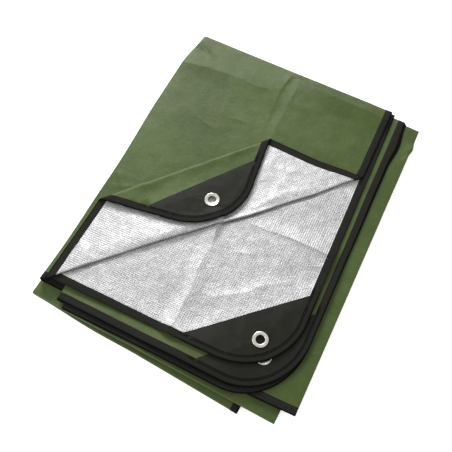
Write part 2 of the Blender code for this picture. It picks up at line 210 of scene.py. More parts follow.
OVER_12, OVER_9, OVER_5, OVER_4, OVER_3, OVER_2 = (under_layer(n) for n in (12, 9, 5, 4, 3, 2))
OVER_TOP = PACK_TOP - AIR / 2
OVER_TURNED = PACK_TOP + CLOTH + 0.9 * MM
OVER_TIP = PACK_TOP + 2 * TURN_BACK_AXIS + 0.8 * MM
print(f"the top layer lifts from {OVER_TOP / MM:.1f} mm, its tip from {OVER_TIP / MM:.1f} mm")

# %% A ridge's line, and lines beside the slanting creases
Ridge = namedtuple("Ridge", "above left right power points")
SOFT = 0


def beside(crease, *rows):
    """Points of a ridge beside a slanting crease of the folded top layer, in millimetres.

    A row says how far along the crease the point lies, from the near left to the far right, how far
    inwards of the folded edge, and how high the ridge is there.
    """
    normal = crease_normal(crease)
    tangent = np.array((cos(radians(crease.angle_deg)), sin(radians(crease.angle_deg))))
    points = []
    for along, inwards, rise in rows:
        place = normal * (crease.distance - inwards * MM) + tangent * along * MM
        flat = QUARTER_WIDTH / 2 - place[:1], place[1:] + QUARTER_LENGTH / 2
        points.append((*((place + slipped(*flat)[0]) / MM), rise))
    return points


# %% [markdown]
# Each row says from where a ridge lifts, how far it reaches on the left and on the right of its
# line, how sharp it is, and its line's points: right, away and rise. All lengths are in millimetres.

# %% The table of ridges
RIDGES = (
    # The second layer: creases fan out from one place beside the turned-back fold. One runs to the
    # near edge, one to the right edge, and a valley lies between them.
    Ridge(OVER_2, 5, 30, 1, ((3, -64, 4.0), (8, -92, 2.6))),
    Ridge(OVER_2, 30, 16, 1, (
        (9, -92, 0.8), (10, -104, 1.2), (9, -140, 2.1), (10, -157, 2.6), (15, -190, 3.4),
        (15, -262, 4.2),
    )),
    Ridge(OVER_2, 36, 100, 1.4, (
        (34, -49, 0.8), (82, -48, 3.0), (126, -47, 4.2), (176, -48, 4.4), (215, -50, 4.4),
    )),
    Ridge(OVER_2, 14, 3.5, 1, ((52, -48, 0.3), (126, -47, 1.4), (180, -48, 1.6))),
    Ridge(OVER_2, 14, 44, 1.3, (
        (36, -184, 0.7), (51, -182, 2.0), (69, -170, 2.2), (94, -154, 2.4), (112, -132, 2.2),
        (129, -122, 1.5), (146, -118, 0.4),
    )),
    Ridge(OVER_2, 9, 30, 1.3, beside(TURN_BACK, (-250, -6, 2.0), (-196, -6, 0.8))),
    Ridge(OVER_2, 9, 40, 1.3, beside(
        TURN_BACK, (-50, -4, 0.6), (-15, -4, 2.6), (20, -4, 2.6), (60, -5, 1.7), (150, -6, 1.8)
    )),
    Ridge(OVER_2, 10, 12, 1.2, ((35, -110, 0.2), (53, -102, 1.0), (71, -96, 0.3))),
    Ridge(OVER_2, 8, 5, 1.1, ((150, -80, 0.2), (174, -70, 1.0), (190, -66, 1.2))),
    Ridge(OVER_2, 90, 115, SOFT, ((-190, -262, 3.2), (-70, -150, 4.4), (-10, -90, 0.9))),
    # The top layer: a ridge along its far side, broken by the crease down its middle.
    Ridge(OVER_TOP, 40, 60, 1.8, (
        (-212, 188, 2.2), (-187, 190, 2.8), (-153, 196, 3.4), (-108, 199, 3.8), (-86, 199, 4.0),
        (-57, 196, 4.0), (-38, 198, 3.2), (-27, 202, 1.8),
    )),
    Ridge(OVER_TOP, 8, 9, 1.1, ((-194, 243, 2.8), (-168, 231, 2.2), (-149, 219, 0.6))),
    Ridge(OVER_TOP, 60, 18, 1.4, (
        (12, 236, 1.8), (12, 202, 1.9), (13, 172, 1.5), (14, 144, 1.3), (15, 106, 0.9),
    )),
    Ridge(OVER_TOP, 5, 30, 1, (
        (-6, 240, 2.4), (-10, 222, 1.6), (-11, 204, 0.9), (-8, 174, 0.7), (-6, 146, 0.6),
        (-4, 108, 0.4),
    )),
    Ridge(OVER_TOP, 34, 30, 1, (
        (14, 240, 2.4), (42, 235, 5.8), (73, 232, 7.2), (139, 231, 6.8), (175, 229, 4.6),
        (200, 227, 2.8),
    )),
    Ridge(OVER_TOP, 26, 14, SOFT, ((34, 190, 1.0), (62, 196, 1.2))),
    Ridge(OVER_TOP, 4, 26, 1, ((-176, 88, 0.3), (-148, 58, 0.7), (-112, 24, 0.4))),
    Ridge(OVER_TOP, 7, 9, 1.2, ((-130, 99, 0.3), (-105, 90, 0.9), (-79, 85, 0.4))),
    Ridge(OVER_TOP, 6, 8, 1.2, ((-74, 118, 0.3), (-50, 120, 0.8), (-28, 121, 0.3))),
    Ridge(OVER_TOP, 14, 6, 1.2, ((-182, -62, 1.2), (-154, -92, 0.7))),
    Ridge(OVER_TOP, 8, 12, 1.3, ((-176, -84, 0.7), (-120, -60, 1.0))),
    # The turned-back corner: its fold is a springy roll in two stretches, pressed flat between them.
    Ridge(OVER_TOP, 40, 16, SOFT, beside(TURN_BACK, (-200, 10, 0.3), (-150, 10, 1.2), (-90, 10, 1.0))),
    Ridge(OVER_TURNED, 26, 9, 1.2, beside(TURN_BACK, (-196, 9, 0.4), (-90, 9, 1.0), (-44, 8, 0.3))),
    Ridge(OVER_TURNED, 26, 11, 1.2, beside(TURN_BACK, (4, 8, 0.3), (62, 12, 1.1), (120, 9, 0.5))),
    Ridge(OVER_TURNED, 6, 4, 1, beside(TURN_BACK, (20, 11, 0.3), (74, 17, 0.9), (116, 13, 0.4))),
    Ridge(OVER_TURNED, 4, 5, SOFT, beside(
        TURN_BACK, (-70, 3, 0.4), (-40, 3, 1.3), (0, 3, 1.3), (30, 3, 0.3)
    )),
    Ridge(OVER_TURNED, 34, 8, 1, ((-142, -222, 3.0), (-153, -206, 3.2), (-170, -198, 1.6))),
    Ridge(OVER_TURNED, 9, 4, 1, ((51, 43, 0.3), (62, 38, 0.9), (79, 39, 0.3))),
    Ridge(OVER_TURNED, 12, 14, 1, ((57, 50, 0.3), (68, 58, 1.0), (84, 69, 0.4))),
    Ridge(OVER_TURNED, 16, 12, 1, ((34, 88, 1.0), (30, 61, 0.9), (27, 28, 0.4))),
    Ridge(OVER_TIP, 24, 34, SOFT, (
        (-98, -100, 0.7), (-74, -72, 1.4), (-44, -34, 1.3), (-8, 6, 0.8), (14, 34, 0.3),
    )),
    # The tip's own fold is a roll too, and its bound edge is a little wavy.
    Ridge(OVER_TURNED, 5, 13, 1.2, beside(TIP_FORWARD, (-190, 5, 1.2), (60, 5, 1.8))),
    Ridge(OVER_TIP, 26, 26, SOFT, ((-150, -118, 1.2), (-142, -96, 1.2))),
    Ridge(OVER_TIP, 22, 22, SOFT, ((-92, -86, 0.7), (-88, -70, 0.7))),
    # Loose stretches between the layers, along the near and right sides.
    Ridge(OVER_4, 60, 60, SOFT, ((-150, -275, 3.0), (110, -270, 3.0))),
    Ridge(OVER_3, 21, 12, 1, (
        (-180, -288, 1.0), (-110, -287, 2.8), (60, -285, 2.8), (110, -280, 1.0),
    )),
    Ridge(OVER_12, 30, 30, SOFT, (
        (-150, -296, 1.2), (-100, -292, 3.0), (-30, -300, 1.8), (40, -300, 3.2), (120, -306, 1.2),
    )),
    Ridge(OVER_9, 12, 12, SOFT, ((-120, -290, 0.4), (-96, -288, 2.0), (-70, -292, 0.4))),
    Ridge(OVER_9, 14, 14, SOFT, ((-40, -296, 0.4), (-16, -296, 2.2), (14, -300, 0.6))),
    Ridge(OVER_5, 9, 14, 1.3, ((244, 203, 3.2), (228, 195, 1.6))),
    Ridge(OVER_5, 10, 12, 1.3, ((240, 178, 1.8), (228, 172, 1.0))),
)
print(f"{len(RIDGES)} ridges")


def ridge_amount(ridge, right, away):
    """How far a ridge raises the places of the pack: its rise times (1 - d)^power.

    d is the distance from the ridge's line as a share of its reach, which differs on the line's left
    and on its right. Power 1 gives a sharp crest and foot, 2 a sharp crest alone; SOFT rounds both.
    The line has straight stretches, and the highest of them counts.
    """
    highest = np.zeros_like(right)
    for (x0, y0, rise0), (x1, y1, rise1) in zip(ridge.points[:-1], ridge.points[1:]):
        start, way = np.array((x0, y0)) * MM, np.array((x1 - x0, y1 - y0)) * MM
        length = np.hypot(*way)
        ahead = ((right - start[0]) * way[0] + (away - start[1]) * way[1]) / length
        aside = ((away - start[1]) * way[0] - (right - start[0]) * way[1]) / length
        share = np.clip(ahead / length, 0, 1)
        reach = np.where(aside > 0, ridge.left, ridge.right) * MM
        beyond = (ahead - share * length) / ((ridge.left + ridge.right) / 2 * MM)
        near = np.clip(1 - np.hypot(aside / reach, beyond), 0, 1)
        shape = rising(near, 0, 1) if ridge.power == SOFT else near**ridge.power
        highest = np.maximum(highest, (rise0 + (rise1 - rise0) * share) * MM * shape)
    return highest


# %% [markdown]
# Small crumples are too many to place by hand, so they are noise: random values at the corners of
# square cells, blended between, and sharpened into little crests.

# %% Smooth noise and crumples
def smooth_noise(x, y, cell, seed):
    """Noise from 0 to 1: random values at the corners of square cells, blended smoothly between."""
    table = np.random.default_rng(seed).random((64, 64))
    u, v = x / cell + 17.3, y / cell + 23.7
    i, j = np.floor(u).astype(int), np.floor(v).astype(int)
    s, t = rising(u - i, 0, 1), rising(v - j, 0, 1)
    low = table[i % 64, j % 64] * (1 - s) + table[(i + 1) % 64, j % 64] * s
    high = table[i % 64, (j + 1) % 64] * (1 - s) + table[(i + 1) % 64, (j + 1) % 64] * s
    return low * (1 - t) + high * t


def crumples(x, y, cell, seed):
    """Sharp little ridges, from 0 to 1: high where two noises cross their middle value."""
    first = 1 - np.abs(2 * smooth_noise(x, y, cell, seed) - 1)
    second = 1 - np.abs(2 * smooth_noise(x + y / 2, y - x / 2, cell * 0.6, seed + 1) - 1)
    return 0.65 * first**3 + 0.35 * second**3


Crumple = namedtuple("Crumple", "above cell_mm amount_mm seed")
CRUMPLES = (
    Crumple(OVER_2, 34, 0.8, 3),
    Crumple(OVER_TOP, 46, 0.5, 7),
    Crumple(OVER_TURNED, 32, 0.7, 11),
    Crumple(OVER_TIP, 45, 0.3, 19),
)
FADE_START, FADE_LENGTH = -6 * MM, 20 * MM


def crumple_amount(crumple, right, away):
    """Small crumples. Those of the second layer start beyond the top layer's turned-back fold."""
    amount = crumple.amount_mm * MM * crumples(right, away, crumple.cell_mm * MM, crumple.seed)
    if crumple.above == OVER_2:
        past_fold = past_crease(TURN_BACK, right, away)
        amount = amount * np.clip((past_fold - FADE_START) / FADE_LENGTH, 0, 1)
    return amount


# %% [markdown]
# A pack is also fuller than flat, because its layers hold air, most in the middle. Last, a few
# places are moved level, all layers together, where someone has pushed the cloth: a pull moves
# neighbours alike, so it can't make layers cross either.

# %% Fullness, and places that are moved level
FULLEST = 0.2


def fullness(right, away):
    """How much fuller than flat the pack is: most in its middle, with a shoulder at each side.

    It is a product of four soft steps, one in from each side.
    """
    to_far = rising(-away, -272 * MM, -196 * MM)
    to_left = 0.6 + 0.4 * rising(right, -206 * MM, -176 * MM)
    to_near = rising(away, -330 * MM, -70 * MM)
    to_right = rising(-right, -250 * MM, -60 * MM)
    return FULLEST * to_far * to_left * (0.35 + 0.65 * to_near) * (0.2 + 0.8 * to_right)


Pull = namedtuple("Pull", "x y reach_x reach_y right_mm away_mm")
PULLS = (
    # The far left corner is pinched in, and the right side's lower layers bulge beside it.
    Pull(-205, 268, 110, 80, 7.5, 0),
    Pull(246, 197, 40, 15, 3.0, -1),
    Pull(216, 190, 17, 46, 5.5, -1),
    # The turned-back fold's right end has slid away a little, and the flap's edge sags beside it.
    Pull(176, 78, 92, 62, -0.5, 8.5),
    # The left side is pinched in as well, most of all in its middle.
    Pull(-208, -50, 22, 170, 7, 0),
    Pull(-208, -190, 22, 130, 5, 0),
    # The lowest layers reach out a little in the middle of the near side.
    Pull(-110, -318, 110, 34, 0, -5),
    # The turned-back fold bows towards the near right.
    Pull(45, -40, 95, 80, 2.5, -2.5),
)


def pulled(right, away):
    """Places moved level by each row of the table: fully at its middle, and less towards its reach."""
    for pull in PULLS:
        aside = np.hypot((right / MM - pull.x) / pull.reach_x, (away / MM - pull.y) / pull.reach_y)
        share = rising(1 - aside, 0, 1)
        right, away = right + share * pull.right_mm * MM, away + share * pull.away_mm * MM
    return right, away


LIFT_BAND = 0.3 * MM


def relief(right, away, up):
    """How far each point of the pack is lifted: each row of the tables, for what lies above it.

    A row's share goes from 0 to 1 in a thin band of heights round the one from which it lifts.
    """
    total = up * fullness(right, away)
    for row in RIDGES + CRUMPLES:
        share = np.clip((up - row.above) / LIFT_BAND + 0.5, 0, 1)
        amount = ridge_amount if isinstance(row, Ridge) else crumple_amount
        total += share * amount(row, right, away)
    return total


# %% [markdown]
# ## Every point of the flat sheet, folded
#
# The corners of the second to fourth layers lie on each other's eyelets, which lifts them, so they
# climb a ramp. Then everything comes together in one function.

# %% The whole way from the flat sheet to the pack
CornerLift = namedtuple("CornerLift", "quarter_across quarter_along height")
CORNER_LIFTS = (CornerLift(3, 0, 4.7 * MM), CornerLift(3, 3, 2.8 * MM), CornerLift(0, 3, 0.9 * MM))
RAMP_FOOT, RAMP_LENGTH = 145 * MM, 55 * MM


def ramp_share(right, away):
    """How far up the near right corner's ramp a place is, from 0 to 1, with soft ends."""
    from_corner = (QUARTER_WIDTH / 2 - right + QUARTER_LENGTH / 2 + away) / sqrt(2)
    return rising(RAMP_FOOT - from_corner, 0, RAMP_LENGTH)


def choose(where, chosen, others):
    """Coordinates from the first set at some points and from the second at the others."""
    return [np.where(where, first, second) for first, second in zip(chosen, others)]


def folded(across, along, height):
    """Where points of the open sheet lie in the pack, as an array of x, y and z."""
    i, j = quarter_of(across, QUARTER_WIDTH), quarter_of(along, QUARTER_LENGTH)
    right, away = QUARTER_WIDTH / 2 - across, along - QUARTER_LENGTH / 2
    is_turned = past_crease(TURN_BACK, right, away) > 0
    back = creased(right, away, height, TURN_BACK)
    forward = creased(*back, TIP_FORWARD)
    turned = choose(is_turned, forward, back)
    turned = (QUARTER_WIDTH / 2 - turned[0], turned[1] + QUARTER_LENGTH / 2, turned[2])
    across, along, height = choose((i == 0) & (j == 0), turned, (across, along, height))
    slip = slipped(across, along)
    for fold_across, fold_along in zip(FOLDS_ACROSS, FOLDS_ALONG):
        across, height = bent(across, height, fold_across, fold_across.crease)
        along, height = bent(along, height, fold_along, fold_along.crease)
    right = QUARTER_WIDTH / 2 - across + slip[:, 0]
    away = along - QUARTER_LENGTH / 2 + slip[:, 1]
    up = PACK_TOP + height
    up = up + relief(right, away, up)
    right, away = pulled(right, away)
    for lift in CORNER_LIFTS:
        here = (i == lift.quarter_across) & (j == lift.quarter_along)
        up = up + here * lift.height * ramp_share(right, away)
    return np.column_stack((right - PACK_CENTRE[0], away - PACK_CENTRE[1], up))


corners = np.array(((0, 0), (0, SHEET_LENGTH), (SHEET_WIDTH, 0), (SHEET_WIDTH, SHEET_LENGTH)))
heights = folded(*corners.T, np.zeros(4))[:, 2] / MM
print("heights of the sheet's corners in the pack, in millimetres:", heights.round(1))

# %% [markdown]
# ## Meshes from arrays
#
# Points and faces are worked out as whole arrays and handed to Blender in one go. A map named
# "flat" keeps each point's place on the open sheet, in metres, for the weave.

# %% A mesh object from arrays
def facing_out(points, faces):
    """A closed mesh's faces, all turned round if the volume that they hold comes out negative.

    The volume is the sum of a . (b x c) / 6 over the triangles that each face fans out into.
    """
    volume = 0
    for k in range(1, faces.shape[1] - 1):
        a, b, c = (points[faces[:, index]] for index in (0, k, k + 1))
        volume += np.einsum("ij,ij->", a, np.cross(b, c))
    return faces if volume > 0 else faces[:, ::-1]


def mesh_object(name, points, faces, flat, slots=None):
    """An object from points, faces of one size, and each point's place on the open sheet."""
    faces = facing_out(points, faces)
    mesh = bpy.data.meshes.new(name)
    mesh.from_pydata(points, [], faces)
    corners = np.zeros(len(mesh.loops), np.int32)
    mesh.loops.foreach_get("vertex_index", corners)
    places = mesh.uv_layers.new(name="flat")
    places.data.foreach_set("uv", flat[corners].astype(np.float32).ravel())
    if slots is not None:
        mesh.polygons.foreach_set("material_index", slots.astype(np.int32))
    mesh.shade_smooth()
    mesh.update()
    piece = bpy.data.objects.new(name, mesh)
    bpy.context.scene.collection.objects.link(piece)
    print(f"{name}: {len(points)} points, {len(faces)} faces")
    return piece


def grid_faces(rows, columns, closed_rows=False, closed_columns=False):
    """Four-cornered faces between the points of a grid, with its sides joined where it is closed."""
    index = np.arange(rows * columns).reshape(rows, columns)
    if closed_rows:
        index = np.vstack((index, index[:1]))
    if closed_columns:
        index = np.hstack((index, index[:, :1]))
    corners = (index[:-1, :-1], index[:-1, 1:], index[1:, 1:], index[1:, :-1])
    return np.stack([corner.ravel() for corner in corners], axis=1)


# %% [markdown]
# ## The cloth
#
# The sheet starts as a grid of lines across and along it, coarse where it lies flat inside the pack
# and close in every bend. The turned corner's two creases run slantwise through the grid, so the
# top layer is also cut along lines beside them. Then the cells that can be seen are split into
# cells of a few millimetres, and the top two layers are cut along their sharp ridges, so that a
# crest is one line and not a row of teeth. That keeps a sheet of three square metres under 200,000
# triangles. Near each corner the sheet ends inside the patch.

# %% Lines of the cloth's grid
COARSE_CELL = 22 * MM
CLOTH_EDGE = 5 * MM
LINES_IN_BENDS = (8, 10)


def bend_lines(fold, whole, steps):
    """Lines through a fold's bend. The second fold of a pair meets the sheet on both sides."""
    half = pi * fold.radius / 2
    lines = np.linspace(fold.crease - half, fold.crease + half, steps + 1)
    return np.concatenate((lines, whole - lines)) if fold.crease < whole / 2 else lines


def grid_lines(folds, whole):
    """All lines of one direction: even ones over each flat quarter, and close ones in each bend."""
    bends = [bend_lines(fold, whole, steps) for fold, steps in zip(folds, LINES_IN_BENDS)]
    bends = np.concatenate(bends)
    even = np.linspace(CLOTH_EDGE, whole - CLOTH_EDGE, round(whole / COARSE_CELL))
    clear = np.abs(even[:, None] - bends[None]).min(axis=1) > COARSE_CELL / 4
    for fold in folds:
        for crease in (fold.crease, whole - fold.crease):
            clear &= np.abs(even - crease) > pi * fold.radius / 2
    return np.unique(np.concatenate((even[clear], bends)))


lines_across = grid_lines(FOLDS_ACROSS, SHEET_WIDTH)
lines_along = grid_lines(FOLDS_ALONG, SHEET_LENGTH)
print(f"cloth grid: {len(lines_across)} by {len(lines_along)} lines")

# %% [markdown]
# Blender's bisect tool cuts chosen faces along a plane. On a flat mesh that plane is a line, so
# lines can be laid wherever the folded cloth needs them, while the rest stays coarse.

# %% Lines beside the slanting creases
BESIDE_CREASE = np.array((-8, 3, 5, 7, 9, 11, 14, 18)) * MM


def cut(flat_mesh, faces, place, normal, drop=False):
    """Cuts some faces of the flat mesh along a line, and drops what lies beyond it if asked.

    The parts go into a dict and not a set, because it keeps them in order, once each.
    """
    parts = dict.fromkeys(part for face in faces for part in (face, *face.edges, *face.verts))
    plane = {"plane_co": (*place, 0), "plane_no": (*normal, 0)}
    result = bmesh.ops.bisect_plane(flat_mesh, geom=list(parts), dist=1e-6, clear_outer=drop, **plane)
    return [part for part in result["geom"] if isinstance(part, bmesh.types.BMFace)]


def add_crease_lines(flat_mesh):
    """Cuts the top layer along lines through both slanting bends and close beside them."""
    middle = np.array((-QUARTER_WIDTH / 2, QUARTER_LENGTH / 2))
    back, tip = crease_normal(TURN_BACK), crease_normal(TIP_FORWARD)
    tip_on_sheet = tip - 2 * (tip @ back) * back
    tip_start = middle + 2 * TURN_BACK.distance * back
    for crease, normal, start in ((TURN_BACK, back, middle), (TIP_FORWARD, tip_on_sheet, tip_start)):
        half = pi * crease.radius / 2
        for offset in np.concatenate((np.linspace(-half, half, 9), half + BESIDE_CREASE)):
            centres = [(face, face.calc_center_median()) for face in flat_mesh.faces]
            on_top = [face for face, at in centres if -at.x < QUARTER_WIDTH and at.y < QUARTER_LENGTH]
            cut(flat_mesh, on_top, start + normal * (crease.distance + offset), normal)


# %% Small cells where the cloth is seen
SEEN_BAND, SEEN_UNDER_FOLD = 46 * MM, 25 * MM
FINE_CUTS, LONG_EDGE = 3, 9 * MM


def is_seen(across, along):
    """Whether a place of the sheet shows: on the top layer, on the second, or near a shown edge."""
    beside = min(abs(across - k * SHEET_WIDTH / 2) for k in (0, 1, 2))
    before = min(abs(along - k * SHEET_LENGTH / 2) for k in (0, 1, 2))
    if min(beside, before) < SEEN_BAND or across < QUARTER_WIDTH and along < QUARTER_LENGTH:
        return True
    right, away = across - SHEET_WIDTH + QUARTER_WIDTH / 2, along - QUARTER_LENGTH / 2
    on_second = across > SHEET_WIDTH - QUARTER_WIDTH and along < QUARTER_LENGTH
    return on_second and past_crease(TURN_BACK, right, away) > -SEEN_UNDER_FOLD


def split_seen(flat_mesh):
    """Splits every long edge of the faces that show, and fills them with a grid."""
    centres = [(face, face.calc_center_median()) for face in flat_mesh.faces]
    seen = [face for face, centre in centres if is_seen(-centre.x, centre.y)]
    long_edges = (edge for face in seen for edge in face.edges if edge.calc_length() > LONG_EDGE)
    edges = list(dict.fromkeys(long_edges))
    bmesh.ops.subdivide_edges(flat_mesh, edges=edges, cuts=FINE_CUTS, use_grid_fill=True)


# %% Lines along the sharp ridges
BESIDE_RIDGE = (-2 * MM, 0, 2 * MM)
RIDGE_ASIDE, RIDGE_AHEAD = 12 * MM, 5 * MM


def on_sheet(column, right, away):
    """Places of the open sheet that come to lie at places of the pack, in the near row's column."""
    slip = np.zeros((len(right), 2))
    for _ in range(4):
        across = QUARTER_WIDTH / 2 - right + slip[:, 0]
        across = SHEET_WIDTH - across if column == 3 else across
        along = away + QUARTER_LENGTH / 2 - slip[:, 1]
        slip = slipped(across, along)
    return np.column_stack((-across, along))


def add_ridge_lines(flat_mesh):
    """Cuts the top and the second layer along each sharp ridge's crest, and close beside it."""
    for ridge in RIDGES:
        if ridge.power == SOFT or ridge.above not in (OVER_2, OVER_TOP):
            continue
        column = 3 if ridge.above == OVER_2 else 0
        points = on_sheet(column, *(np.array(ridge.points)[:, :2].T * MM))
        for start, end in zip(points[:-1], points[1:]):
            length = np.hypot(*(end - start))
            way = (end - start) / length
            normal = np.array((way[1], -way[0]))
            faces = list(flat_mesh.faces)
            centres = np.array([face.calc_center_median()[:2] for face in faces])
            from_start = centres - start
            ahead, aside = from_start @ way, from_start @ normal
            near = (np.abs(aside) < RIDGE_ASIDE) & (centres[:, 1] < QUARTER_LENGTH)
            near &= (ahead > -RIDGE_AHEAD) & (ahead < length + RIDGE_AHEAD)
            near &= (-centres[:, 0] / QUARTER_WIDTH).astype(int) == column
            chosen = [faces[index] for index in np.nonzero(near)[0]]
            for offset in BESIDE_RIDGE:
                chosen = cut(flat_mesh, chosen, start + normal * offset, normal)


# %% Without its corners, and back to arrays
CUT_INSIDE_PATCH = 12 * MM


def drop_corners(flat_mesh):
    """Cuts off the sheet's four corners along lines inside the patches' long edges."""
    for across in (0, SHEET_WIDTH):
        for along in (0, SHEET_LENGTH):
            outwards = np.array((1 if across == 0 else -1, -1 if along == 0 else 1)) / sqrt(2)
            place = np.array((-across, along)) - outwards * (PATCH_LEG - CUT_INSIDE_PATCH) / sqrt(2)
            cut(flat_mesh, list(flat_mesh.faces), place, outwards, drop=True)


def cut_flat(points, faces, flat, steps):
    """A flat mesh after some cutting steps: its points, triangles, and places in the weave."""
    mesh = bpy.data.meshes.new("flat")
    mesh.from_pydata(points, [], faces)
    places = mesh.attributes.new("flat", "FLOAT_VECTOR", "POINT")
    places.data.foreach_set("vector", np.column_stack((flat, 0 * flat[:, 0])).ravel())
    flat_mesh = bmesh.new()
    flat_mesh.from_mesh(mesh)
    for step in steps:
        step(flat_mesh)
    bmesh.ops.triangulate(flat_mesh, faces=flat_mesh.faces)
    flat_mesh.to_mesh(mesh)
    flat_mesh.free()
    points, flat = np.zeros(len(mesh.vertices) * 3), np.zeros(len(mesh.vertices) * 3)
    triangles = np.zeros(len(mesh.loops), np.int32)
    mesh.vertices.foreach_get("co", points)
    mesh.attributes["flat"].data.foreach_get("vector", flat)
    mesh.loops.foreach_get("vertex_index", triangles)
    bpy.data.meshes.remove(mesh)
    return points.reshape(-1, 3), triangles.reshape(-1, 3), flat.reshape(-1, 3)[:, :2]


# %% [markdown]
# The flat cloth becomes a closed shell: its silver face below, its green face above, and a rim
# between them. Both faces go through the folding, each with its own height, so the cloth keeps its
# thickness round every bend.

# %% The way that triangles face, and the edges of the sheet
def facing_up(points, triangles):
    """Triangles of the flat sheet, all turned to face up."""
    a, b, c = (points[triangles[:, k]] for k in range(3))
    turned = (b[:, 0] - a[:, 0]) * (c[:, 1] - a[:, 1]) - (b[:, 1] - a[:, 1]) * (c[:, 0] - a[:, 0])
    return np.where((turned > 0)[:, None], triangles, triangles[:, ::-1])


def open_edges(triangles):
    """The edges that belong to one triangle only, each in its triangle's direction."""
    edges = np.concatenate((triangles[:, :2], triangles[:, 1:], triangles[:, (2, 0)]))
    key = np.sort(edges, axis=1)
    _, first, count = np.unique(key, axis=0, return_index=True, return_counts=True)
    return edges[first[count == 1]]


# %% The folded cloth
grid_across, grid_along = np.meshgrid(lines_across, lines_along, indexing="ij")
plan = np.column_stack((-grid_across.ravel(), grid_along.ravel(), 0 * grid_along.ravel()))
cells = grid_faces(len(lines_across), len(lines_along))
_, triangles, plan = cut_flat(
    plan, cells, plan[:, :2], (add_crease_lines, split_seen, add_ridge_lines, drop_corners)
)
triangles = facing_up(plan, triangles)
count = len(plan)
rim = open_edges(triangles)
rim_faces = np.vstack((
    np.column_stack((rim[:, 0], rim[:, 1], rim[:, 1] + count)),
    np.column_stack((rim[:, 0], rim[:, 1] + count, rim[:, 0] + count)),
))
across, along = -plan[:, 0], plan[:, 1]
shell = np.vstack((
    folded(across, along, np.full(count, SILVER_FACE)),
    folded(across, along, np.full(count, GREEN_FACE)),
))
shell_faces = np.vstack((triangles[:, ::-1], triangles + count, rim_faces))
finish_of_face = np.concatenate((np.ones(len(triangles)), np.zeros(len(triangles) + len(rim_faces))))
cloth = mesh_object("blanket_cloth", shell, shell_faces, np.vstack((plan, plan)), finish_of_face)

# %% [markdown]
# ## The binding
#
# Binding tape is folded over the edge and stitched through, so its section is a flat loop: round at
# the outside, level over the cloth, pressed in a little along the seam. That section is carried
# round the sheet's outline, four straight sides and four quarter circles, on the flat sheet, and
# folded with it. A curve with a bevel could carry it too, but only along the folded edge, where it
# would twist at every fold and leave the cloth.

# %% The sheet's outline, and steps along it
EDGE_STEP, NEAR_FOLD = 5 * MM, 14 * MM


def outline_place(distance):
    """Places on the sheet's outline and the directions inwards, for distances along it.

    The outline is split into eight stretches: a straight side, then a quarter circle, four times.
    It starts at the corner of the top layer and runs across first.
    """
    sides = (SHEET_WIDTH - 2 * CORNER_RADIUS, SHEET_LENGTH - 2 * CORNER_RADIUS)
    arc = pi / 2 * CORNER_RADIUS
    starts = np.cumsum([0, sides[0], arc, sides[1], arc, sides[0], arc, sides[1], arc])
    left, far = SHEET_WIDTH - CORNER_RADIUS, SHEET_LENGTH - CORNER_RADIUS
    near = right = CORNER_RADIUS
    corners = np.array(((left, near), (left, far), (right, far), (right, near)))
    stretch = np.clip(np.searchsorted(starts, distance, side="right") - 1, 0, 7)
    along = distance - starts[stretch]
    side = stretch // 2
    on_arc = stretch % 2 == 1
    angle = -pi / 2 + side * pi / 2 + np.where(on_arc, along / CORNER_RADIUS, 0)
    outwards = np.column_stack((np.cos(angle), np.sin(angle)))
    forwards = np.column_stack((-np.sin(angle), np.cos(angle)))
    back = np.where(on_arc, 0, along - np.array(sides * 2)[side])
    place = corners[side] + CORNER_RADIUS * outwards + back[:, None] * forwards
    return place, -outwards, starts[-1]


def edge_steps():
    """Distances along the outline: even steps, and finer ones where the tape goes round a fold."""
    length = outline_place(np.zeros(1))[2]
    even = np.arange(0, length, EDGE_STEP)
    place, _, _ = outline_place(even)
    gap = np.minimum(
        np.abs(place[:, 0, None] - QUARTER_WIDTH * np.arange(1, 4)).min(axis=1),
        np.abs(place[:, 1, None] - QUARTER_LENGTH * np.arange(1, 4)).min(axis=1),
    )
    top = (place[:, 0] < QUARTER_WIDTH) & (place[:, 1] < QUARTER_LENGTH)
    fine = (gap < NEAR_FOLD) | top
    extra = [even[fine] + EDGE_STEP * share for share in (0.2, 0.4, 0.6, 0.8)]
    return np.sort(np.concatenate([even, *extra]))


steps = edge_steps()
place, inwards, outline_length = outline_place(steps)
print(f"the outline: {outline_length:.2f} m, in {len(steps)} steps")

# %% The tape's section, carried round the outline
TAPE_HIGH = CLOTH + 0.1 * MM
SEAM_IN, SEAM_PRESS = 9.4 * MM, 0.14 * MM
WOBBLE, WOBBLE_LENGTH = 0.35 * MM, 14 * MM


def tape_section():
    """The tape's section, as distances in from the edge and heights, all the way round."""
    high, press, seam, width = TAPE_HIGH, SEAM_PRESS, SEAM_IN / MM, TAPE_WIDTH / MM
    upper = (
        (-0.30, CLOTH / 2), (-0.15, high * 0.86), (0.5, high), (4.0, high + 0.05 * MM), (8.0, high),
        (seam - 0.4, high - 0.4 * press), (seam, high - press), (seam + 0.4, high - 0.4 * press),
        (11.0, high), (width - 0.2, high - 0.05 * MM), (width, GREEN_FACE - 0.1 * MM),
    )
    lower = [(inset, CLOTH - height) for inset, height in reversed(upper)]
    return np.array([(inset * MM, height) for inset, height in (*upper, *lower[:-1])])


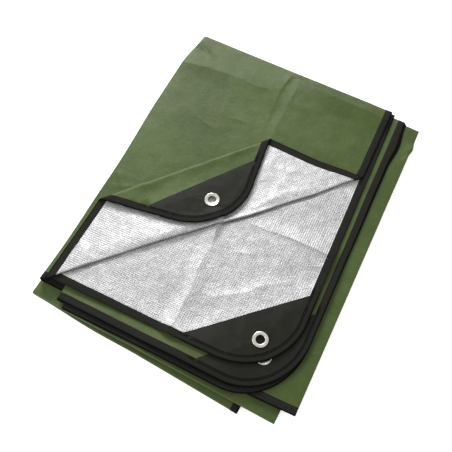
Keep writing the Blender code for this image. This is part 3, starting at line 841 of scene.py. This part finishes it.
section = tape_section()
wobble = WOBBLE * (smooth_noise(steps, 0 * steps, WOBBLE_LENGTH, 31) - 0.5)
inset = section[None, :, 0] + wobble[:, None]
tape_across = place[:, None, 0] + inset * inwards[:, None, 0]
tape_along = place[:, None, 1] + inset * inwards[:, None, 1]
tape_height = np.broadcast_to(section[None, :, 1], inset.shape)
tape_flat = np.column_stack((np.repeat(steps, len(section)), np.tile(section[:, 0], len(steps))))
tape_points = np.column_stack((-tape_across.ravel(), tape_along.ravel(), tape_height.ravel()))
loops = grid_faces(len(steps), len(section), closed_rows=True, closed_columns=True)
tape_points, tape_faces, tape_flat = cut_flat(tape_points, loops, tape_flat, (add_crease_lines,))
tape_folded = folded(-tape_points[:, 0], *tape_points[:, 1:].T)
tape = mesh_object("edge_tape", tape_folded, tape_faces, tape_flat)

# %% [markdown]
# ## The corner patches
#
# A patch is a corner of coated cloth with two straight edges, a round one, a long edge across the
# corner, and a hole for the eyelet. Rays from the hole to the outline make it a surface over two
# parameters: the angle, and how far along its ray a point lies. A single flat face with a hole
# would be simpler, but it has no points inside it that the folding could bend. The patches are cut
# by hand, and the second layer's reaches a little further along one edge than the others.

# %% Patches
PATCH_LOW, PATCH_HIGH = -0.02 * MM, CLOTH + 0.02 * MM
PATCH_EDGE = 6 * MM
PATCH_LEGS = (PATCH_LEG, PATCH_LEG, PATCH_LEG + 9 * MM, PATCH_LEG)
HOLE_RADIUS = 8.4 * MM
RAYS, RINGS = 144, 22


def patch_reach(angle, inset, leg):
    """How far the patch's outline is from the eyelet's middle, in the corner's own directions.

    The least of four distances: to both bound edges, to the long edge, and to the round corner.
    """
    c, s = np.cos(angle), np.sin(angle)
    with np.errstate(divide="ignore"):
        to_sides = np.minimum(
            np.where(c < 0, (inset - PATCH_EDGE) / -c, np.inf),
            np.where(s < 0, (inset - PATCH_EDGE) / -s, np.inf),
        )
        slant = c / leg + s / PATCH_LEG
        to_long = np.where(slant > 0, (1 - inset / leg - inset / PATCH_LEG) / slant, np.inf)
    radius = CORNER_RADIUS - PATCH_EDGE
    offset = inset - CORNER_RADIUS
    middle = offset * (c + s)
    to_round = -middle + np.sqrt(middle**2 - 2 * offset**2 + radius**2)
    on_round = (offset + to_round * c < 0) & (offset + to_round * s < 0)
    return np.minimum(np.minimum(to_sides, to_long), np.where(on_round, to_round, np.inf))


def in_corner(number, a, b):
    """Places on the sheet from distances in from the two edges that meet in a corner."""
    left, far = ((0, 0), (0, 1), (1, 0), (1, 1))[number - 1]
    return (SHEET_WIDTH - a if left else a), (SHEET_LENGTH - b if far else b)


def corner_patch(number):
    """One patch as a closed ring: out over its upper face, down its edge and back underneath.

    A point lies on its ray at (cos(t), sin(t)) times a distance that goes evenly from the hole's
    radius to the outline.
    """
    angle = np.linspace(0, 2 * pi, RAYS, endpoint=False) + pi / RAYS
    share = np.linspace(0, 1, RINGS)
    share = np.concatenate((share, share[::-1]))
    height = np.repeat((PATCH_HIGH, PATCH_LOW), RINGS)
    inset = EYELET_INSETS[number - 1]
    reach = patch_reach(angle, inset, PATCH_LEGS[number - 1])
    distance = HOLE_RADIUS + share[None, :] * (reach[:, None] - HOLE_RADIUS)
    a = inset + distance * np.cos(angle)[:, None]
    b = inset + distance * np.sin(angle)[:, None]
    across, along = in_corner(number, a.ravel(), b.ravel())
    height = np.tile(height, RAYS)
    flat = np.column_stack((a.ravel(), b.ravel()))
    faces = grid_faces(RAYS, 2 * RINGS, closed_rows=True, closed_columns=True)
    piece = mesh_object(f"patch_{number}", folded(across, along, height), faces, flat)
    piece.data.set_sharp_from_angle(angle=radians(50))
    return piece


patches = [corner_patch(number) for number in CORNERS]

# %% [markdown]
# ## The stitching
#
# A stitch is a short bead of thread that dives into the cloth at both ends: three sections of four
# points. One row runs in the tape's pressed seam on each face, and one along each patch's long edge.
# Beads are made as meshes because thread that is only painted on looks flat from near by.

# %% Stitches
STITCH, STITCH_PITCH, THREAD = 3.0 * MM, 4.2 * MM, 0.6 * MM
LONG_EDGE_IN, ROW_ENDS_IN = 4 * MM, 15 * MM


def stitches(name, across, along, way, level):
    """Rows of stitches on both faces of the sheet, from their middles and directions on the flat.

    Each has three sections along its length. The end ones are 0.45 of the thread wide and lie
    lower than the middle one, so the ends dive into the cloth.
    """
    run = np.array((-0.5, 0, 0.5))[:, None] * STITCH
    aside = np.array((0.45, 1, 0.45))[:, None] * THREAD / 2 * np.array((-1, 0, 1, 0))
    rise = np.array((0, 1, 0))[:, None] * np.array((0, 0.12, 0, -0.04)) * MM + level
    points = []
    for face in (1, -1):
        x = across[:, None, None] + run * way[:, 0, None, None] - face * aside * way[:, 1, None, None]
        y = along[:, None, None] + run * way[:, 1, None, None] + face * aside * way[:, 0, None, None]
        z = np.broadcast_to(CLOTH / 2 + face * rise, x.shape)
        points.append(np.stack((x, y, z), axis=-1).reshape(-1, 3))
    points = np.vstack(points)
    bead = np.vstack((grid_faces(3, 4, closed_columns=True), ((3, 2, 1, 0), (8, 9, 10, 11))))
    faces = (bead[None] + 12 * np.arange(len(points) // 12)[:, None, None]).reshape(-1, 4)
    return mesh_object(name, folded(*points.T), faces, points[:, :2])


site = np.arange(0, outline_length, STITCH_PITCH)
place, inwards, _ = outline_place(site)
seam = place + SEAM_IN * inwards
tape_stitches = stitches(
    "tape_stitches", *seam.T, np.column_stack((-inwards[:, 1], inwards[:, 0])), CLOTH / 2 - 0.02 * MM
)


def patch_row(number):
    """Middles and directions of the stitches along a patch's long edge, on the flat sheet."""
    leg = np.array((PATCH_LEGS[number - 1], PATCH_LEG)) - LONG_EDGE_IN * sqrt(2)
    ends = np.full((2, 2), ROW_ENDS_IN)
    ends[0, 0], ends[1, 1] = leg * (1 - ROW_ENDS_IN / leg[::-1])
    count = int(np.linalg.norm(ends[1] - ends[0]) / STITCH_PITCH)
    share = (np.arange(count)[:, None] + 0.5) / count
    across, along = in_corner(number, *(ends[0] + share * (ends[1] - ends[0])).T)
    way = np.array((across[1] - across[0], along[1] - along[0]))
    return across, along, np.tile(way / np.linalg.norm(way), (count, 1))


rows = [np.column_stack(patch_row(number)) for number in CORNERS]
across, along, *way = np.vstack(rows).T
patch_stitches = stitches("patch_stitches", across, along, np.column_stack(way), CLOTH / 2 + 0.01 * MM)

# %% [markdown]
# ## The eyelets
#
# An eyelet is pressed metal: a barrel through the cloth with a domed flange on the silver face, and
# its other end rolled out into a wide funnel with a narrow rim on the green one. The flange is a
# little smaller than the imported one. Blender's Spin or Screw would turn the section as well. Turned
# as an array, it can be set on the folded cloth at once: metal doesn't bend, so only its middle and
# two places beside it are folded, and the whole ring follows them as one stiff piece.

# %% Eyelets
HOLE, BARREL, FUNNEL, FLANGE = 6.8 * MM, 7.4 * MM, 10.1 * MM, 11.9 * MM
FUNNEL_RISE, DOME_RISE, RIM_WIDTH = 1.05 * MM, 1.35 * MM, 0.95 * MM
TURNS = 72


def flange_side(face, rise):
    """Half of the section: from the hole's wall over the domed flange to its rim.

    Over a share from 0 to 1, the radius grows from the hole to the rim by half a cosine, and the
    rise is half a sine wave, made fuller by a power below 1.
    """
    share = np.linspace(0, 1, 15)
    radius = HOLE + (FLANGE - HOLE) * (1 - np.cos(pi * share)) / 2
    dome = np.sin(pi * np.clip(share * 0.93 + 0.02, 0, 1)) ** 0.62
    return np.column_stack((radius, face + rise * (0.18 + 0.82 * dome)))


def funnel_side(face, rise):
    """The other half, where the barrel's end is rolled outwards: a wide funnel with a narrow rim.

    The funnel's wall is a straight slope, and the rim is most of half a circle, flattened.
    """
    wall = np.column_stack((np.linspace(HOLE, FUNNEL, 7), face + rise * np.linspace(0.1, 0.78, 7)))
    bow = np.linspace(0.7, 0, 8) * pi
    radius = FLANGE + RIM_WIDTH * (np.cos(bow) - 1)
    rim = np.column_stack((radius, face + rise * (0.2 + 0.8 * np.sin(bow))))
    return np.vstack((wall, rim))


def eyelet_section():
    """The whole section: the funnel and its underside, the barrel, and the domed flange."""
    low, high = PATCH_LOW - 0.02 * MM, PATCH_HIGH + 0.02 * MM
    upper = funnel_side(high, FUNNEL_RISE)
    lower = flange_side(low, -DOME_RISE)[::-1]
    return np.vstack((upper, ((FLANGE, high), (BARREL, high), (BARREL, low), (FLANGE, low)), lower))


def eyelet(number):
    """One eyelet: the section turned round its axis, and set on its corner of the folded sheet.

    A point of the section at radius r and height h goes to (r * cos(t), r * sin(t), h).
    """
    profile = eyelet_section()
    turn = np.linspace(0, 2 * pi, TURNS, endpoint=False)[:, None]
    local = np.stack((
        profile[None, :, 0] * np.cos(turn),
        profile[None, :, 0] * np.sin(turn),
        np.broadcast_to(profile[None, :, 1], (TURNS, len(profile))),
    ), axis=-1).reshape(-1, 3)
    across, along = in_corner(number, *np.full((2, 3), EYELET_INSETS[number - 1]))
    across, along = across - np.array((0, FLANGE, 0)), along + np.array((0, 0, FLANGE))
    centre, beside, beyond = folded(across, along, np.zeros(3))
    first = (beside - centre) / np.linalg.norm(beside - centre)
    upright = np.cross(first, beyond - centre)
    upright = upright / np.linalg.norm(upright)
    points = centre + local @ np.array((first, np.cross(upright, first), upright))
    faces = grid_faces(TURNS, len(profile), closed_rows=True, closed_columns=True)
    piece = mesh_object(f"eyelet_ring_{number}", points, faces, local[:, :2])
    piece.data.set_sharp_from_angle(angle=radians(40))
    return piece


eyelets = [eyelet(number) for number in CORNERS]

# %% [markdown]
# ## Finishes
#
# Shader maths reads best as arithmetic, so one small class wraps a socket and turns + - * into Math
# nodes. One method makes any other node from the values or links of its sockets, and its settings.

# %% Shader arithmetic
class Value:
    """A number that a shader works out: a socket, with arithmetic."""

    def __init__(self, finish, socket):
        self.finish, self.socket = finish, socket

    def math(self, operation, *others):
        return self.finish.node("ShaderNodeMath", [self, *others], operation=operation)

    def __add__(self, other):
        return self.math("ADD", other)

    def __sub__(self, other):
        return self.math("SUBTRACT", other)

    def __mul__(self, other):
        return self.math("MULTIPLY", other)

    __radd__ = __add__
    __rmul__ = __mul__

    def __rsub__(self, other):
        return (self * -1) + other

    def part(self, name):
        return Value(self.finish, self.socket.node.outputs[name])


# %% A finish, built up node by node
class Finish:
    """A material, and the nodes that drive its shader."""

    def __init__(self, name, **shader_values):
        self.material = bpy.data.materials.new(name)
        self.material.use_nodes = True
        self.tree = self.material.node_tree
        self.shader = self.tree.nodes["Principled BSDF"]
        for socket, value in shader_values.items():
            self.shader.inputs[socket.replace("_", " ")].default_value = value

    def set(self, socket, value):
        """Gives a socket a value or a link."""
        if isinstance(value, Value):
            self.tree.links.new(value.socket, socket)
        else:
            socket.default_value = value

    def node(self, kind, sockets, output=0, **settings):
        """A node of a kind. Its sockets come as a list, in order, or as a dict by name or number."""
        made = self.tree.nodes.new(kind)
        for name, value in settings.items():
            setattr(made, name, value)
        numbered = sockets.items() if isinstance(sockets, dict) else enumerate(sockets)
        for name, value in numbered:
            self.set(made.inputs[name], value)
        return Value(self, made.outputs[output])

    def drive(self, **sockets):
        """Links values to the shader's own sockets."""
        for name, value in sockets.items():
            self.set(self.shader.inputs[name.replace("_", " ")], value)

    def mix(self, share, first, second):
        """A colour between two colours."""
        return self.node("ShaderNodeMix", {0: share, 6: first, 7: second}, 2, data_type="RGBA")

    def flat_place(self):
        """The place on the open sheet, in metres, and its two parts."""
        place = self.node("ShaderNodeUVMap", [], uv_map="flat")
        parts = self.node("ShaderNodeSeparateXYZ", [place])
        return place, parts.part("X"), parts.part("Y")

    def noise(self, place, size, detail=2.0, roughness=0.5):
        """Noise from 0 to 1 whose blots are about size metres across."""
        sockets = {"Vector": place, "Scale": 1 / size, "Detail": detail, "Roughness": roughness}
        return self.node("ShaderNodeTexNoise", sockets, "Fac")

    def facets(self, place, size):
        """Crumpled facets: the distance to the nearest of points about size metres apart."""
        sockets = {"Vector": place, "Scale": 1 / size, "Randomness": 1.0}
        return self.node("ShaderNodeTexVoronoi", sockets, "Distance", feature="F1")

    def thread(self, distance, pitch, sharpness=1.0):
        """Threads side by side: 1 on a thread's crest and 0 between two, by a cosine."""
        wave = (distance * (2 * pi / pitch)).math("COSINE") * 0.5 + 0.5
        return wave.math("POWER", sharpness) if sharpness != 1.0 else wave

    def between(self, value, low, high):
        """A value as a share of the way from low to high, held between 0 and 1, with soft ends."""
        sockets = {"Value": value, "From Min": low, "From Max": high}
        return self.node("ShaderNodeMapRange", sockets, interpolation_type="SMOOTHSTEP")

    def bump(self, height, depth, strength=1.0):
        """Links a bump of a given depth, in metres, to the shader."""
        sockets = {"Height": height, "Distance": depth, "Strength": strength}
        self.drive(Normal=self.node("ShaderNodeBump", sockets))


# %% [markdown]
# ### The green face
#
# It is a coated cloth: a fine plain weave that the coating fills, with a dull sheen, faint blotches
# and small creases. Noise and facets are bumped rather than modelled, because the finest of them
# are smaller than the cloth's own cells.

# %% Green coated cloth
def green_cloth():
    """Green, in two tones that blotches mix, over a bump of weave, fine grain, wrinkles and facets."""
    finish = Finish("green_coated_cloth", Specular_IOR_Level=0.17)
    place, u, v = finish.flat_place()
    blotches = finish.noise(place, 160 * MM, 4.0, 0.6)
    fine = finish.noise(place, 5 * MM, 3.0, 0.65)
    wrinkles = finish.noise(place, 35 * MM, 5.0, 0.62)
    facets = finish.facets(place, 55 * MM) + 0.4 * finish.facets(place, 21 * MM)
    warp, weft = finish.thread(u, 1.1 * MM), finish.thread(v, 1.1 * MM)
    weave = warp * weft + (1 - warp) * (1 - weft)
    tone = finish.between(0.5 * blotches + 0.3 * wrinkles + 0.2 * fine, 0.36, 0.64)
    colour = finish.mix(tone, (0.049, 0.073, 0.019, 1), (0.076, 0.109, 0.031, 1))
    finish.drive(Base_Color=colour, Roughness=0.36 + 0.12 * fine)
    finish.bump(weave * 0.12 + fine * 0.35 + wrinkles * 1.6 + facets * 1.0, 1 * MM, 0.8)
    return finish.material


# %% [markdown]
# ### The silver face
#
# Aluminised film lies over an open scrim, a net of threads that shows through as small squares. The
# film is bright, but it is full of tiny crinkles, so it glitters rather than mirrors. The threads
# are cosines of the place on the open sheet, so they follow every fold, and stay sharp from near by
# where an image of them would blur.

# %% Silver film over scrim
def silver_film():
    """Grey metal, brighter on threads and speckles, over a bump of scrim, speckles and crinkles."""
    finish = Finish("silver_film_on_scrim", Metallic=0.82)
    place, u, v = finish.flat_place()
    scrim = finish.thread(u, 3.3 * MM, 2.0).math("MAXIMUM", finish.thread(v, 2.9 * MM, 2.0))
    speckle = finish.noise(place, 2.2 * MM, 2.0, 0.7)
    crinkle = finish.noise(place, 14 * MM, 4.0, 0.62)
    facets = finish.facets(place, 28 * MM)
    tone = finish.between(speckle * 0.62 + scrim * 0.16 + crinkle * 0.22, 0.34, 0.66)
    colour = finish.mix(tone, (0.24, 0.24, 0.243, 1), (0.66, 0.66, 0.66, 1))
    finish.drive(Base_Color=colour, Roughness=0.46 + 0.16 * speckle)
    finish.bump(scrim * 0.28 + speckle * 0.5 + crinkle * 1.8 + facets * 0.9, 1 * MM, 0.8)
    return finish.material


# %% [markdown]
# ### Tape, patches, thread and metal
#
# The tape is a ribbed black weave, the patches a smooth coated cloth, and the eyelets are nickel over
# brass, pale and a little scuffed. The tape's colour holds painted shade where it turns over the
# edge, out of the light, and a painted shadow line along the seam beside the patches. Its flat map
# says where that is: u runs along the outline, and v is the distance in from the edge.

# %% Where the corners' middles lie along half of the outline, the last also counted from its start
HALF_ARC = pi / 4 * CORNER_RADIUS
CORNER_MIDDLES = (SHEET_WIDTH - 2 * CORNER_RADIUS + HALF_ARC, outline_length / 2 - HALF_ARC, -HALF_ARC)
print("corners along the tape:", [round(middle, 3) for middle in CORNER_MIDDLES])

# %% Tape
def tape_weave():
    """Near black and ribbed, with painted shade on its turned edge and its seam by the patches."""
    finish = Finish("black_binding_tape", Specular_IOR_Level=0.06)
    place, u, v = finish.flat_place()
    ribs = finish.thread(u, 1.1 * MM)
    warp = finish.thread(v, 0.9 * MM)
    fuzz = finish.noise(place, 2 * MM, 3.0, 0.7)
    tone = finish.between(fuzz, 0.25, 0.8)
    colour = finish.mix(tone, (0.010, 0.010, 0.008, 1), (0.023, 0.023, 0.018, 1))
    place_on_half = u.math("MODULO", outline_length / 2)
    to_middles = [(place_on_half - middle).math("ABSOLUTE") for middle in CORNER_MIDDLES]
    to_corner = to_middles[0].math("MINIMUM", to_middles[1]).math("MINIMUM", to_middles[2])
    beside_patch = 1 - finish.between(to_corner, 125 * MM, 145 * MM)
    far_from_patch_3 = finish.between((u - CORNER_MIDDLES[0]).math("ABSOLUTE"), 380 * MM, 500 * MM)
    # Painted shadow along the seam beside the patches, and painted shade on the turned edge, out of
    # the light.
    seam = 1 - finish.between((v - SEAM_IN).math("ABSOLUTE"), 0.8 * MM, 2.8 * MM)
    rim = 1 - finish.between(v, 0.8 * MM, 2.6 * MM)
    rim = rim * (0.25 + 0.75 * beside_patch.math("MAXIMUM", far_from_patch_3))
    # light is the share of the tape's own colour that the painted shade and painted shadow leave.
    light = (1 - rim) * (1 - 0.95 * seam * beside_patch)
    colour = finish.mix(light, (0.0012, 0.0012, 0.001, 1), colour)
    finish.drive(Base_Color=colour, Roughness=0.62 + 0.2 * fuzz)
    finish.bump(ribs * 0.5 + warp * 0.3 + fuzz * 0.5, 0.4 * MM, 0.6)
    return finish.material


# %% Patch, thread and metal
def patch_cloth():
    """Near black with soft blotches, over a bump of fine weave and grain."""
    finish = Finish("black_patch_cloth", Specular_IOR_Level=0.12)
    place, u, v = finish.flat_place()
    weave = finish.thread(u, 0.8 * MM) * finish.thread(v, 0.8 * MM)
    blotches = finish.noise(place, 35 * MM, 3.0, 0.55)
    fine = finish.noise(place, 3 * MM, 2.0, 0.6)
    tone = finish.between(blotches, 0.3, 0.7)
    colour = finish.mix(tone, (0.010, 0.010, 0.007, 1), (0.017, 0.017, 0.012, 1))
    finish.drive(Base_Color=colour, Roughness=0.42 + 0.14 * fine)
    finish.bump(weave * 0.3 + fine * 0.3 + blotches * 2.0, 0.6 * MM, 0.5)
    return finish.material


def black_thread():
    """Near black, in two tones."""
    finish = Finish("black_thread", Specular_IOR_Level=0.25)
    place, _, _ = finish.flat_place()
    tone = finish.noise(place, 0.7 * MM, 2.0, 0.6)
    finish.drive(Base_Color=finish.mix(tone, (0.008, 0.008, 0.006, 1), (0.026, 0.026, 0.021, 1)))
    return finish.material


def eyelet_metal():
    """Pale nickel, with scuffs through which the brass shows a little."""
    finish = Finish("nickel_on_brass", Metallic=1.0)
    place = finish.node("ShaderNodeTexCoord", [], "Object")
    scuffs = finish.noise(place, 4 * MM, 4.0, 0.65)
    tone = finish.between(scuffs, 0.45, 0.7)
    colour = finish.mix(tone, (0.76, 0.74, 0.66, 1), (0.56, 0.52, 0.40, 1))
    finish.drive(Base_Color=colour, Roughness=0.2 + 0.2 * scuffs)
    finish.bump(scuffs, 0.25 * MM, 0.4)
    return finish.material


# %% Every piece with its finish
for material, pieces in (
    (green_cloth(), [cloth]),
    (silver_film(), [cloth]),
    (tape_weave(), [tape]),
    (patch_cloth(), patches),
    (eyelet_metal(), eyelets),
    (black_thread(), [tape_stitches, patch_stitches]),
):
    for piece in pieces:
        piece.data.materials.append(material)
print("finishes:", ", ".join(material.name for material in bpy.data.materials))

# %% [markdown]
# ## What each piece stands for
#
# Every piece rides on the part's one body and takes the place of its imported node. The thread has no
# node of its own, so it shares the binding's. The cloth is a sheet that is held folded, and all the
# other pieces go with it.

# %% Pieces, nodes and material slots
stands_for = [
    (cloth, "blanket", "laminated_sheet"),
    (tape, "edge_binding", "edge_tape"),
    (tape_stitches, "edge_binding", "edge_tape"),
    (patch_stitches, "edge_binding", "edge_tape"),
]
for number, patch, ring in zip(CORNERS, patches, eyelets):
    stands_for.append((patch, f"corner_patch_{number}", "corner_patch"))
    stands_for.append((ring, f"eyelet_{number}", "eyelet_metal"))
for piece, node, slot in stands_for:
    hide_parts(node)
    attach(piece, "root")

# %% [markdown]
# ## The stage
#
# A plain pale floor and soft light: a large soft light from behind and to the left, a weaker one
# from the near left, and an even sky. The floor glows faintly, which keeps it white between the
# shadows. The camera looks down at the pack from its near right.

# %% Floor
FLOOR_REACH, FLOOR_DROP = 6.0, 0.2 * MM
scene = bpy.context.scene
floor_mesh = bpy.data.meshes.new("floor")
floor_corners = ((-1, -1, 0), (1, -1, 0), (1, 1, 0), (-1, 1, 0))
floor_mesh.from_pydata(FLOOR_REACH * np.array(floor_corners), [], [(0, 1, 2, 3)])
floor = bpy.data.objects.new("floor", floor_mesh)
floor.location.z = -FLOOR_DROP
scene.collection.objects.link(floor)
floor_finish = Finish(
    "pale_floor",
    Base_Color=(0.93, 0.93, 0.93, 1),
    Roughness=0.9,
    Emission_Color=(1, 1, 1, 1),
    Emission_Strength=0.6,
)
floor_mesh.materials.append(floor_finish.material)
print(f"floor: {2 * FLOOR_REACH:.0f} m wide")

# %% Light
scene.view_settings.view_transform = "Standard"
world = bpy.data.worlds.new("studio")
scene.world = world
world.use_nodes = True
world.node_tree.nodes["Background"].inputs["Color"].default_value = (1, 1, 1, 1)
world.node_tree.nodes["Background"].inputs["Strength"].default_value = 0.7


def soft_light(name, place, aim, size, power):
    """A square area light at a place, turned towards a point."""
    light = bpy.data.lights.new(name, "AREA")
    light.size, light.energy = size, power
    lamp = bpy.data.objects.new(name, light)
    lamp.location = place
    lamp.rotation_euler = (Vector(aim) - Vector(place)).to_track_quat("-Z", "Y").to_euler()
    scene.collection.objects.link(lamp)
    return lamp


key = soft_light("key", (-2.25, 3.1, 2.15), (0, 0, 0), 1.8, 195)
fill = soft_light("fill", (-3.0, -2.1, 2.25), (0, 0, 0), 1.8, 60)
print("lights:", key.name, "and", fill.name)

# %% Camera
CAMERA_AZIMUTH, CAMERA_ELEVATION = radians(25.69), radians(64.60)
CAMERA_TARGET = Vector((-3.6, -36.7, 0)) * MM
CAMERA_DISTANCE = 967.8 * MM
FOCAL_PIXELS, IMAGE_PIXELS = 600, 452
back = Vector((
    sin(CAMERA_AZIMUTH) * cos(CAMERA_ELEVATION),
    -cos(CAMERA_AZIMUTH) * cos(CAMERA_ELEVATION),
    sin(CAMERA_ELEVATION),
))
camera = bpy.data.objects.new("camera", bpy.data.cameras.new("camera"))
camera.data.lens = camera.data.sensor_width * FOCAL_PIXELS / IMAGE_PIXELS
camera.location = CAMERA_TARGET + back * CAMERA_DISTANCE
camera.rotation_euler = back.to_track_quat("Z", "Y").to_euler()
scene.collection.objects.link(camera)
scene.camera = camera
print(f"camera {camera.data.lens:.1f} mm, {CAMERA_DISTANCE:.2f} m away")
